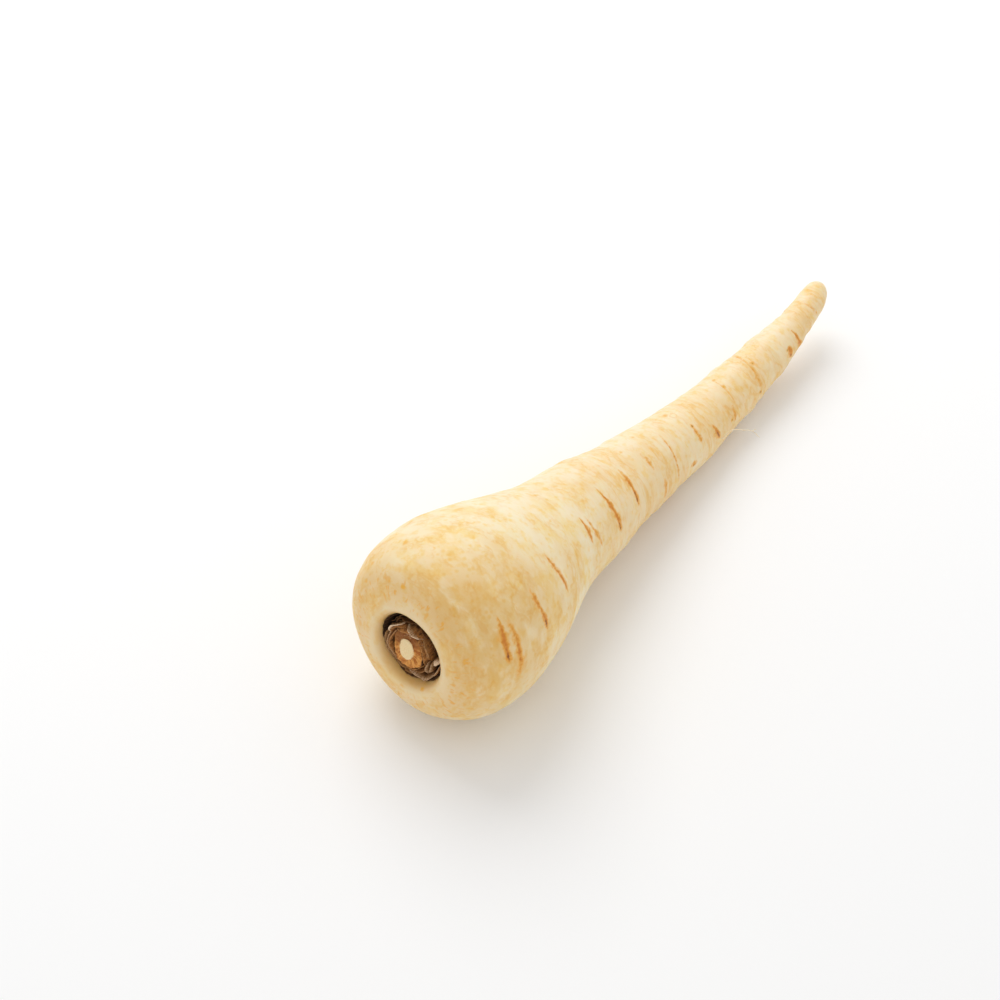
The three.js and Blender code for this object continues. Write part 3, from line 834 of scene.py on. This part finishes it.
def skin_material():
    shader = Shader("parsnip_skin")
    place = shader.attribute("place", "Vector")
    tail = shader.attribute("tail")
    on_bulb = shader.ranged(tail, 0, 1, 1, 0.35)
    ragged = shader.noise(place, SPOT_RAG_SCALE)
    fields = {}
    for name, (squeeze, *settings) in MOTTLING.items():
        squeezed = shader.stretched(place, (1, squeeze, squeeze))
        fields[name] = shader.noise(squeezed, *settings[:4])

    def mottled(name, where=1.0):
        """The share of that kind of mottling."""
        low, high, strength = MOTTLING[name][-3:]
        return shader.times(shader.ranged(fields[name], low, high, 0, strength), where)

    def lines(name, where):
        """The share of that kind of thin wandering lines."""
        middle, half_width, strength = MOTTLING[name][-3:]
        off_line = shader.apart(fields[name], middle)
        return shader.times(shader.ranged(off_line, 0, half_width, strength, 0), where)

    def from_spot(arc, degrees, size):
        """How far it is from a spot's middle, in its own ragged radii."""
        away = shader.math("DIVIDE", shader.distance(place, on_straight(arc, degrees)), size)
        return shader.times(away, shader.ranged(ragged, 0.3, 0.7, 1.2, 0.7))

    # The flesh's own tones, broad and then finely mottled, with painted light and shade among them:
    # the paler lit side, the shoulder's deeper shaded side, the lip's and the banks' highlights and
    # the crater's shade.
    shader.colour = CREAM
    shader.lay(mottled("broad"), TAN)
    shader.lay(shader.attribute("shoulder"), YELLOW, 0.85)
    shader.lay(tail, TAIL_TAN, 0.35)
    # Painted light: the side of the waist and the tail that faces the light is laid paler.
    shader.lay(shader.attribute("upper"), PAINTED_LIGHT_CREAM, 0.57)
    shader.lay(mottled("pale", on_bulb), CREAM)
    shader.tint(mottled("patches", on_bulb), GOLD_TINT)
    shader.tint(mottled("flecks"), GOLD_TINT)
    dots = shader.ranged(shader.cells(place, DOT_SCALE), 0.10, 0.45, 0.55, 0)
    shader.tint(shader.times(dots, mottled("dotted", on_bulb)), GOLD_TINT)
    shader.tint(lines("net lines", mottled("netted", on_bulb)), AMBER_TINT)
    near_lip = shader.attribute("near_lip")
    dashes = shader.noise(shader.attribute("around", "Vector"), DASH_SCALE, roughness=0.5)
    shader.lay(near_lip, OCHRE, 0.35)
    shader.lay(shader.times(shader.ranged(dashes, 0.56, 0.66, 0, 0.85), near_lip), ORANGE)
    shader.tint(mottled("streaks", tail), GOLD_TINT)
    golden = shader.plus(mottled("bands", tail), shader.attribute("halo"))
    shader.tint(shader.times(golden, 0.3), AMBER_TINT)
    on_gold = shader.times(shader.ranged(golden, 0.0, 0.8, 0.12, 0.5), tail)
    shader.tint(lines("band lines", on_gold), AMBER_TINT)
    # Painted highlight: a paler band along the lip's crest.
    shader.lay(shader.attribute("lip"), LIP_HIGHLIGHT_TAN, 0.6)
    # Painted highlight along the furrows' banks.
    shader.lay(shader.attribute("banks"), CREAM, 0.2)
    # Painted shade: the crater's wall is laid brown.
    shader.lay(shader.attribute("crater"), CRATER_SHADE_BROWN, 0.85)

    # The spots, the scars and the furrows.
    spots, dark_spots = 0.0, shader.attribute("umber")
    for arc, degrees, size, how_orange, how_dark in SPOTS:
        away = from_spot(arc, degrees, size)
        spots = shader.greater(spots, shader.ranged(away, 0.3, 1.2, how_orange, 0))
        dark_spots = shader.greater(dark_spots, shader.ranged(away, 0.2, 0.9, how_dark, 0))
    for arc, degrees, size, how_orange in RING_SCARS:
        off_ring = shader.apart(from_spot(arc, degrees, size), 1.0)
        spots = shader.greater(spots, shader.ranged(off_ring, 0.0, 0.35, how_orange, 0))
    shader.lay(spots, SPOT_ORANGE)
    rust = shader.attribute("rust")
    frayed = shader.math("SUBTRACT", shader.noise(place, STAIN_RAG_SCALE), 0.5)
    frayed = shader.times(frayed, shader.ranged(rust, 0.0, 0.4, 0.0, 1.25))
    stain = shader.plus(rust, frayed)
    shader.lay(shader.ranged(stain, 0.03, 0.68, 0.0, 0.92), ORANGE)
    shader.lay(shader.ranged(stain, 0.40, 1.00, 0.0, 0.95), RUST)
    shader.lay(shader.ranged(shader.plus(dark_spots, frayed), 0.4, 0.85, 0.0, 0.85), UMBER)

    pores = shader.times(shader.noise(place, PORE_SCALE, detail=4), 0.6)
    return shader.finish(
        Normal=shader.bump(shader.plus(pores, fields["streaks"]), 0.00006, 0.4),
        Roughness=shader.ranged(fields["flecks"], 0.3, 0.7, 0.42, 0.58),
        Subsurface_Weight=0.2,
        Subsurface_Radius=(0.0040, 0.0024, 0.0012),
        Subsurface_Scale=1.0,
        Specular_IOR_Level=0.35,
    )


def skin_point(x, degrees):
    """A point of the skin, and the way out from it."""
    side_points = np.linspace(outline_places[LIP_POINT + 1], outline_places[-1], 800)
    along, radius = outline(side_points).T
    middle, _, side, top = section_planes(float(x))
    angle = math.radians(degrees)
    outward = math.cos(angle) * side + math.sin(angle) * top
    return to_footprint(middle + np.interp(x, along, radius) * outward), outward


def rootlets():
    """The long rootlet with its twig, and short ones along the tail's far side."""
    start, _ = skin_point(ROOTLET_X, ROOTLET_DEGREES)
    hairs = []
    for path, radius in ((ROOTLET_PATH, ROOTLET_RADIUS), (ROOTLET_TWIG, 0.6 * ROOTLET_RADIUS)):
        share = np.linspace(0, 1, len(path))
        fine = np.linspace(0, 1, 10 * len(path))
        points = start + smooth_curve(share, path)(fine)
        points += ROOTLET_WANDER * vectors(*(noise(points, 0.0016, 60 + k) for k in range(3)))
        hairs.append(tube("rootlet", points, radius * (1 - 0.7 * fine), 8))
    draw = np.random.default_rng(SHORT_ROOTLET_SEED)
    for _ in range(SHORT_ROOTLETS):
        side_degrees = SHORT_ROOTLET_SIDE + draw.uniform(-9, 9)
        start, outward = skin_point(draw.uniform(*SHORT_ROOTLET_X), side_degrees)
        length = draw.uniform(*SHORT_ROOTLET_LENGTH)
        bend = np.array([draw.uniform(-0.5, 1.0), draw.uniform(-0.3, 0.3), -0.5])
        share = np.linspace(-0.1, 1, 12)[:, None]  # its foot is under the skin
        points = start + length * (share * outward + share * np.abs(share) * bend)
        points[:, 2] = np.maximum(points[:, 2], 0.0004)
        radii = SHORT_ROOTLET_RADIUS * (1 - 0.75 * np.clip(share[:, 0], 0, 1))
        hairs.append(tube("rootlet", points, radii, 6))
    return joined("rootlets", hairs)


def rootlet_material():
    shader = Shader("rootlet")
    mottle = shader.noise(shader.attribute("place", "Vector"), 900, roughness=0.5)
    shader.colour = shader.mix(shader.ranged(mottle, 0.4, 0.65), ROOTLET_CREAM, ROOTLET_TAN)
    return shader.finish(
        Roughness=0.6,
        Subsurface_Weight=0.3,
        Subsurface_Radius=(0.0010, 0.0007, 0.0004),
        Subsurface_Scale=1.0,
        Specular_IOR_Level=0.3,
    )


# ---- The crown ----

crown_middle, crown_ahead, crown_side, crown_top = section_planes(0.0)
crown_start = to_footprint(
    crown_middle + STUB_OFFSET_SIDE * crown_side - STUB_OFFSET_DOWN * crown_top)
crown_axes = np.array([crown_side, -crown_top, -crown_ahead])


def from_polar(radius, degrees, height):
    """Points in the crown's frame."""
    angle = np.radians(degrees)
    return vectors(radius * np.cos(angle), radius * np.sin(angle), height)


def from_crown(points):
    """From the crown's frame to the part's own."""
    return crown_start + points @ crown_axes


def reach_to(radius, degrees):
    """How far it is from the stub's middle to a circle round the crater's middle."""
    angle = np.radians(degrees)
    along = STUB_OFFSET_SIDE * np.cos(angle) + STUB_OFFSET_DOWN * np.sin(angle)
    offset = math.hypot(STUB_OFFSET_SIDE, STUB_OFFSET_DOWN)
    return np.sqrt(radius**2 - offset**2 + along**2) - along


def wall_reach(degrees, height):
    return reach_to(WALL_RADIUS + WALL_FLARE * height, degrees)


def stem_stub():
    places = spread_places(STUB_OUTLINE)
    profile = smooth_curve(places, STUB_OUTLINE)(np.linspace(0, places[-1], STUB_ROWS))
    height, radius = profile[:, :1], profile[:, 1:]
    degrees = np.arange(STUB_COLUMNS) * 360 / STUB_COLUMNS
    flat = from_polar(radius, degrees, height)
    on_cut = smoothstep(0.0030, 0.0036, height)
    on_pith = smoothstep(0.0040, 0.0030, radius) * on_cut

    lobes = np.interp(degrees, RING_REACH[:, 0], RING_REACH[:, 1], period=360)
    lobes = lobes + 0.04 * noise(from_polar(STUB_OUTLINE[:, 1].max(), degrees, 0.0), 0.0028, 41)
    lobes = 1 + (lobes - 1) * smoothstep(0.003, 0.006, radius)
    stretch = 1 + PITH_STRETCH * on_pith * np.cos(np.radians(2 * (degrees - PITH_LONG_WAY)))
    points = from_polar(radius * lobes * stretch, degrees, height)
    moved = smoothstep(0.0062, 0.0035, radius) * on_cut
    points[..., :2] += np.array(PITH_MIDDLE) * moved[..., None]

    slope = -math.tan(math.radians(CUT_SLANT)) * smoothstep(0.0005, 0.0036, height)
    slant = slope * np.cos(np.radians(degrees - CUT_LOW_SIDE)) * radius
    fibres = noise(from_polar(0.004, degrees, 0.0) + flat * 0.12, 0.00045, 42)
    grain = noise(flat, 0.0008, 43) + 0.6 * noise(flat, 0.0004, 44)
    on_ring = on_cut * (1 - on_pith)
    points[..., 2] += slant + on_ring * (RING_FIBRES * fibres + RING_GRAIN * grain)
    points[..., 2] += on_pith * PITH_GRAIN * grain
    rough = (1 - on_cut) * RIND_ROUGHNESS * noise(flat * [1, 1, 0.25], 0.0009, 45)
    points[..., :2] *= (1 + rough / np.maximum(radius, 0.001))[..., None]
    attributes = {
        "place": points,
        "across": from_polar(1, degrees, 0)[None],
        "pith": on_pith,
        "shade": np.cos(np.radians(degrees - RING_DARK_SIDE)),
        "cut": on_cut,
    }
    return grid_object("stem_stub", from_crown(points), attributes)


def collar():
    """The foot that all the sheaths grow from, painted near black as the shade deep in the crater.
    """
    degrees = np.arange(0, 360, 3.0)
    top_reach = wall_reach(degrees, COLLAR_TOP)
    corners = [
        (reach_to(COLLAR_FOOT_RADIUS, degrees), CROWN_FOOT),
        (wall_reach(degrees, COLLAR_KNEE), COLLAR_KNEE),
        (top_reach, COLLAR_TOP),
    ]
    for share in np.linspace(0.08, 1, 12):
        corners.append((top_reach + (BORE_RADIUS - top_reach) * share, COLLAR_TOP))
    corners.append((BORE_RADIUS, CROWN_FOOT))
    points = np.array([from_polar(reach, degrees, height) for reach, height in corners])
    on_top = np.array([height == COLLAR_TOP for _, height in corners])
    points[on_top, :, 2] += COLLAR_ROUGHNESS * noise(points[on_top], 0.0011, 51)
    # foot 1: painted shade all over
    attributes = {"place": points, "edge": 0, "warm": 0, "foot": 1}
    return grid_object("collar", from_crown(points), attributes, ring_shaped=True)


def inside_wall(points):
    """Points of the crown's frame, moved in where they would cross the crater's wall."""
    reach = np.hypot(points[..., 0], points[..., 1])
    degrees = np.degrees(np.arctan2(points[..., 1], points[..., 0]))
    share = np.minimum(wall_reach(degrees, points[..., 2]) / reach, 1)
    return points * vectors(share, share, 1.0)


def nested(degrees, height, nest, clear, thickness):
    """How far from the stub's middle a sheath stands at its place between stub and wall."""
    return clear + BORE_RADIUS + (wall_reach(degrees, height) - BORE_RADIUS - thickness) * nest


def sheath(index, row):
    """One torn sheath: a thin upright wall with a ragged edge that sinks away at its ends."""
    nests, (first, last) = row[:3], row[3:5]
    height, rag, lean, thickness, warm, pale = row[5:]
    length = math.hypot(0.009 * math.radians(last - first), 0.005 * (nests[2] - nests[0]))
    ends = np.linspace(0.02, 0.98, int(length / SHEATH_STEP))[:, None]
    degrees = first + (last - first) * ends
    nest = smooth_curve(np.array([0, 0.5, 1]), nests)(ends)
    levels = np.array(SHEATH_LEVELS)

    plan = from_polar(nested(degrees, 0.0, nest, thickness / 2, thickness), degrees, 0.0)
    tears = 0.6 * noise(plan, 0.0024, 600 + index) + 0.5 * noise(plan, 0.0009, 700 + index)
    top = COLLAR_TOP + (height - COLLAR_TOP) * np.sin(np.pi * ends) ** 0.25 + rag * tears
    z = SHEATH_FOOT + (top - SHEATH_FOOT) * levels
    line = from_polar(nested(degrees, z, nest, thickness / 2, thickness), degrees, z)
    along = np.gradient(line, axis=0)
    aside = unit(vectors(along[..., 1], -along[..., 0], 0.0))

    room = 4 * nest * (1 - nest) + 0.25
    bend = SHEATH_BEND * room * noise(line * [1, 1, 0.35], 0.0026, 800 + index)
    ribs = SHEATH_RIBS * noise(line * [1, 1, 0.12], 0.0005, 900 + index)
    curl = pale * SHEATH_CURL * levels**8
    line += (lean * levels**2 + curl + bend * levels + ribs)[..., None] * aside
    half = (thickness * (0.5 - 0.33 * levels))[None, :, None]
    inner, outer = inside_wall(line - half * aside), inside_wall(line + half * aside)
    points = np.concatenate([inner, outer[:, ::-1]], axis=1)
    from_foot = np.concatenate([levels, levels[::-1]])
    attributes = {
        "place": points,
        "edge": pale * smoothstep(0.8 - 0.4 * pale, 1.0, from_foot),
        "warm": warm,
        # painted shade towards the foot
        "foot": 1 - smoothstep(0.1, 0.75, from_foot),
    }
    return grid_object("sheath", from_crown(points), attributes)


def loose_fibres():
    """Short dry fibres that stand from the torn edges."""
    draw = np.random.default_rng(FIBRE_SEED)
    long_rows = [row for row in SHEATHS[:-WALL_SHEATHS] if row[4] - row[3] > FIBRE_ARC]
    share = np.linspace(0, 1, 6)
    fibres = []
    for _ in range(FIBRE_COUNT):
        _, nest, _, first, last, height, _, _, _, warm, _ = long_rows[draw.integers(len(long_rows))]
        degrees = draw.uniform(first + 12, last - 12)
        turn = draw.uniform(-9, 9)
        rise = draw.uniform(0.0006, 0.0016)
        out = draw.uniform(-0.0003, 0.0007)
        reach = nested(degrees, height, nest, 0.0003, 0.0008) + out * share**2
        reach = np.minimum(reach, wall_reach(degrees, height) - 0.0002)
        start = height - 0.0008  # inside the sheath
        path = from_polar(reach, degrees + turn * share**1.5, start + rise * share)
        radii = FIBRE_RADIUS * (1 - 0.7 * share)
        edge = draw.uniform(0.1, 0.9)
        fibres.append(tube("fibre", from_crown(path), radii, 5, edge=edge, warm=warm, foot=0))
    return fibres


def leaf_sheaths():
    pieces = [collar()] + [sheath(index, row) for index, row in enumerate(SHEATHS)]
    return joined("leaf_sheaths", pieces + loose_fibres())


def sheath_material():
    shader = Shader("dry_leaf_sheath")
    place = shader.attribute("place", "Vector")
    edge = shader.attribute("edge")
    upright = shader.stretched(place, (1, 1, 0.12))
    fibres = shader.noise(upright, 2600, detail=5, roughness=0.65)
    dirt = shader.noise(place, 700, detail=5)
    brown = shader.mix(shader.ranged(fibres, 0.35, 0.7), SHEATH_DARK, SHEATH_BROWN)
    orange = shader.mix(shader.ranged(fibres, 0.3, 0.7), SHEATH_RUST, SHEATH_ORANGE)
    shader.colour = shader.mix(shader.attribute("warm"), brown, orange)
    shader.lay(shader.ranged(dirt, 0.50, 0.62, 0.0, 0.6), SHEATH_DIRT)
    shader.lay(shader.ranged(edge, 0.0, 0.5, 0.0, 0.8), EDGE_TAN)
    frayed = shader.times(edge, shader.ranged(fibres, 0.34, 0.58, 0.45, 1.0))
    shader.lay(shader.ranged(frayed, 0.30, 0.90), EDGE_CREAM)
    # Painted shade: the sheaths darken towards their feet deep in the crater, and the collar is
    # black all over.
    shader.lay(shader.attribute("foot"), SHEATH_SHADE_BLACK, 0.85)
    return shader.finish(
        Normal=shader.bump(shader.plus(fibres, dirt), 0.00012, 0.7),
        Roughness=0.85,
        Specular_IOR_Level=0.2,
    )


def stub_material():
    shader = Shader("cut_stem")
    place = shader.attribute("place", "Vector")
    rays = shader.noise(shader.attribute("across", "Vector"), 7, detail=5, roughness=0.7)
    blotches = shader.noise(place, 620, detail=5)
    mixed = shader.plus(shader.times(rays, 0.45), shader.times(blotches, 0.55))
    ring = shader.mix(shader.ranged(mixed, 0.40, 0.60), RING_BROWN, RING_ORANGE)
    dark_side = shader.ranged(shader.attribute("shade"), 0.0, 0.8, 0.0, 0.8)
    ring = shader.mix(dark_side, ring, RING_SHADE)
    rind = shader.mix(shader.ranged(blotches, 0.35, 0.65), RIND_DARK, RIND_BROWN)
    shader.colour = shader.mix(shader.attribute("cut"), rind, ring)
    pores = shader.noise(place, 2600, detail=4)
    cream = shader.mix(shader.ranged(pores, 0.4, 0.7), PITH_CREAM, PITH_TAN)
    frayed = shader.times(shader.math("SUBTRACT", blotches, 0.5), 0.8)
    frayed = shader.plus(shader.attribute("pith"), frayed)
    shader.lay(shader.ranged(frayed, 0.25, 0.8), cream)
    return shader.finish(
        Normal=shader.bump(shader.plus(pores, blotches), 0.00015, 0.7),
        Roughness=0.75,
        Subsurface_Weight=0.08,
        Subsurface_Radius=(0.002, 0.001, 0.0005),
        Subsurface_Scale=1.0,
        Specular_IOR_Level=0.25,
    )


# ---- Camera, light and floor ----

def add_camera():
    data = bpy.data.cameras.new("camera")
    data.lens = CAMERA_LENS
    data.sensor_width = CAMERA_SENSOR
    camera = placed("camera", data)
    camera.location = CAMERA_PLACE
    tilt, turn = math.radians(90 - CAMERA_PITCH), math.radians(CAMERA_HEADING - 90)
    camera.rotation_euler = Euler((tilt, 0, turn))
    bpy.context.scene.camera = camera


def add_light():
    data = bpy.data.lights.new("key", "AREA")
    data.shape = "DISK"
    data.size = LIGHT_SIZE
    data.energy = LIGHT_POWER
    data.color = LIGHT_COLOUR
    light = placed("key", data)
    light.location = LIGHT_PLACE
    aim = Vector(np.subtract(LIGHT_AIM, LIGHT_PLACE))
    light.rotation_euler = aim.to_track_quat("-Z", "Y").to_euler()


def add_floor():
    bpy.ops.mesh.primitive_plane_add(size=FLOOR_WIDTH)
    floor = bpy.context.object
    floor.name = "floor"
    shader = Shader("pale_floor")
    shader.colour = FLOOR_WHITE
    floor.data.materials.append(shader.finish(Roughness=0.7, Specular_IOR_Level=0.2))


def add_world():
    world = bpy.data.worlds.new("studio")
    world.use_nodes = True
    background = world.node_tree.nodes["Background"]
    background.inputs["Color"].default_value = (1, 1, 1, 1)
    background.inputs["Strength"].default_value = WORLD_STRENGTH
    bpy.context.scene.world = world
    bpy.context.scene.view_settings.view_transform = "Standard"


add_camera()
add_world()
add_floor()
add_light()

skin = root_skin()
skin.data.materials.append(skin_material())
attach(skin, "root")
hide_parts("root")

hairs = rootlets()
hairs.data.materials.append(rootlet_material())
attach(hairs, "root")

sheaths = leaf_sheaths()
sheaths.data.materials.append(sheath_material())
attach(sheaths, "root")
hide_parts("leaf_bases")

stub = stem_stub()
stub.data.materials.append(stub_material())
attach(stub, "root")
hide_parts("crown_stem")
